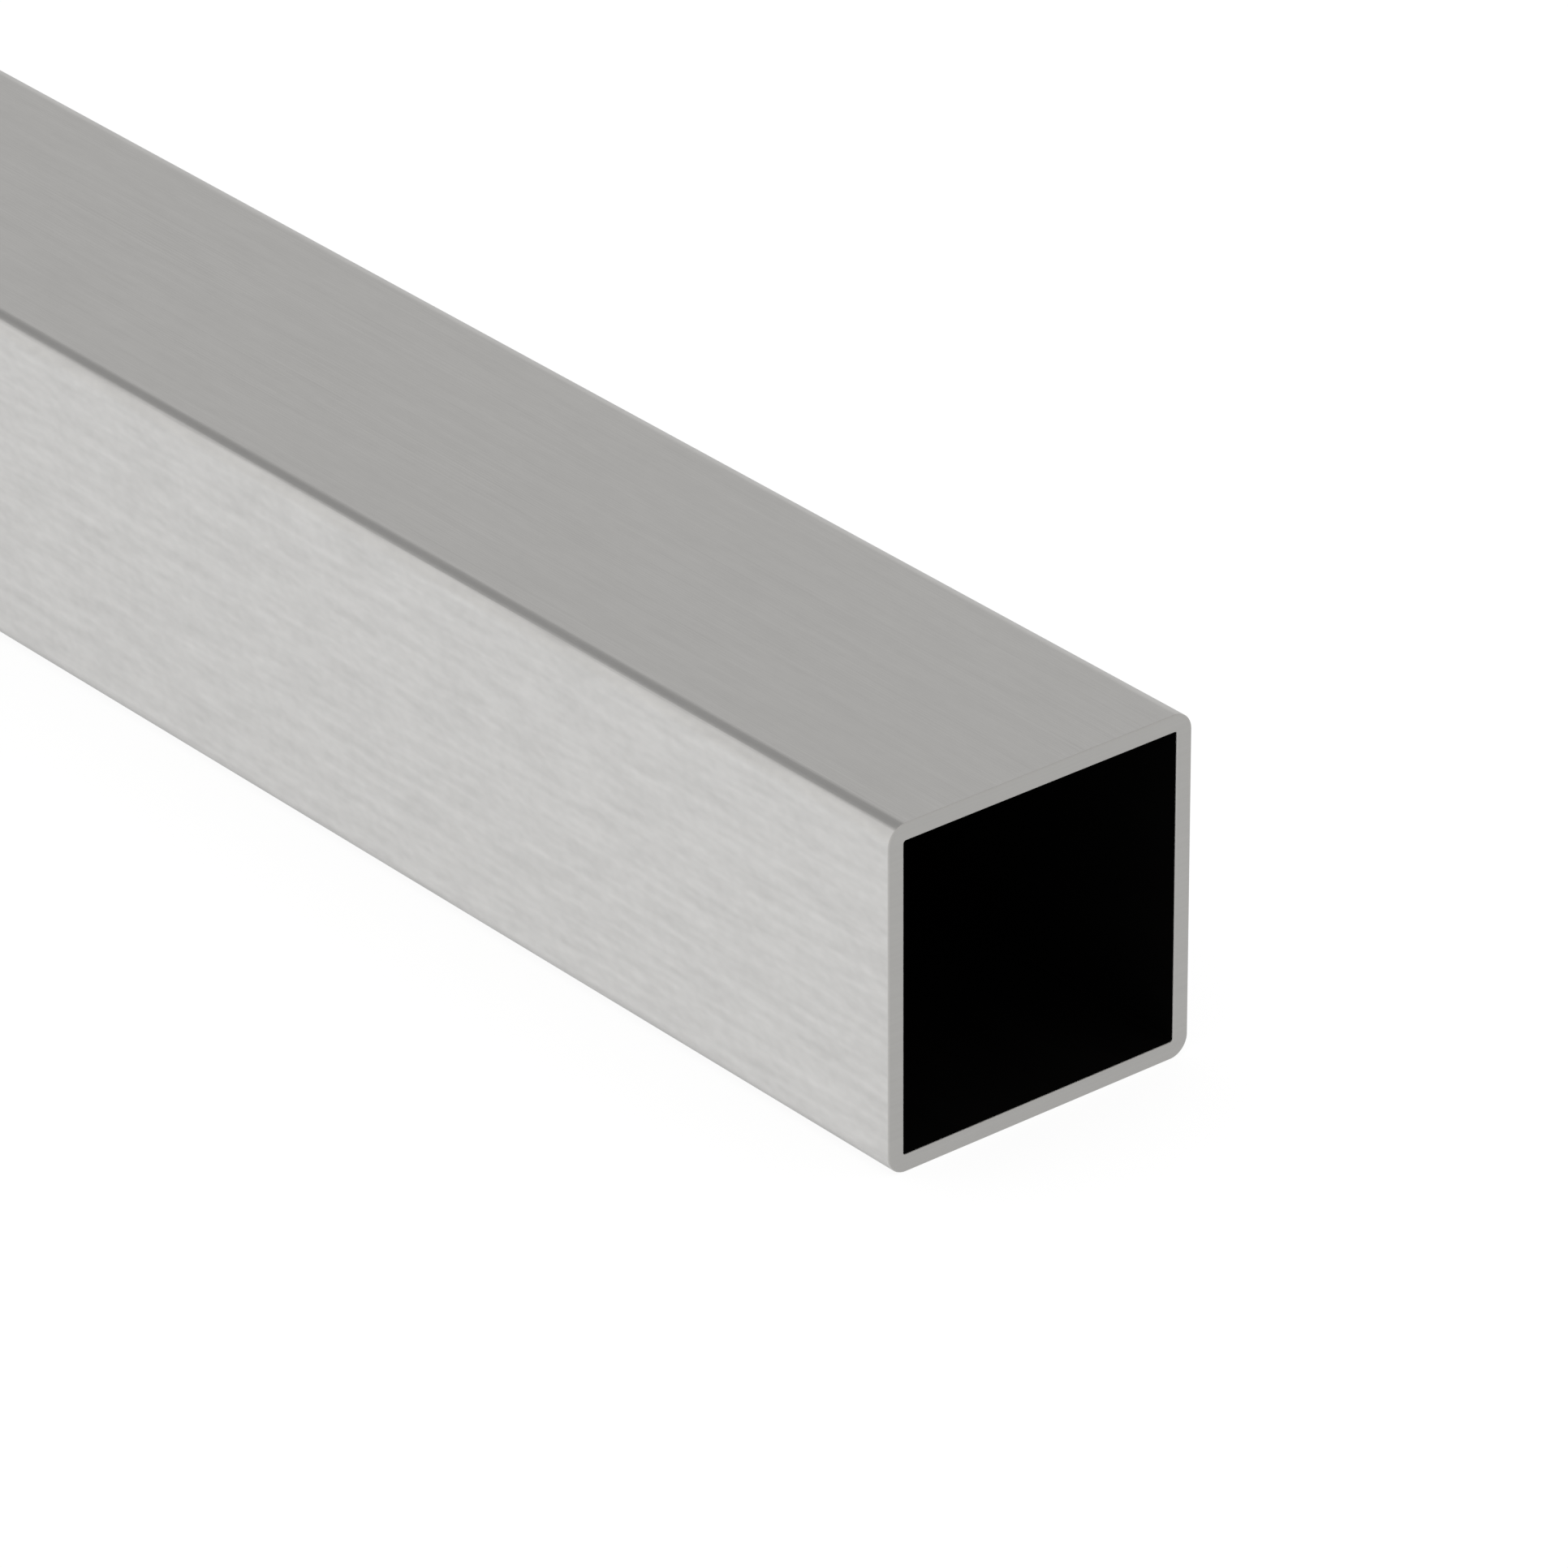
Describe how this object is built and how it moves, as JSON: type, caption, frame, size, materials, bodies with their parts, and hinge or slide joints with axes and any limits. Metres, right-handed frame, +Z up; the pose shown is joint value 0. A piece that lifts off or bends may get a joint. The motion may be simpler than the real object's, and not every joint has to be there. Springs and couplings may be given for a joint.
{
  "type": "square metal tube",
  "caption": "Straight length of square hollow metal tube with tightly rounded corners, a brushed outside and square-cut open ends, for frames, rails and brackets.",
  "frame": {"origin": "on the floor, at the middle of the side the tube lies on", "axes": "+X along the tube, towards the end that the picture shows; +Z up, out of the top side; +Y across the tube"},
  "size_m": [1, 0.04, 0.04],
  "materials": {
    "brushed_tube": "satin brushed along the length, dark bore"
  },
  "bodies": {
    "root": {"square_tube": "brushed_tube"}
  },
  "joints": []
}
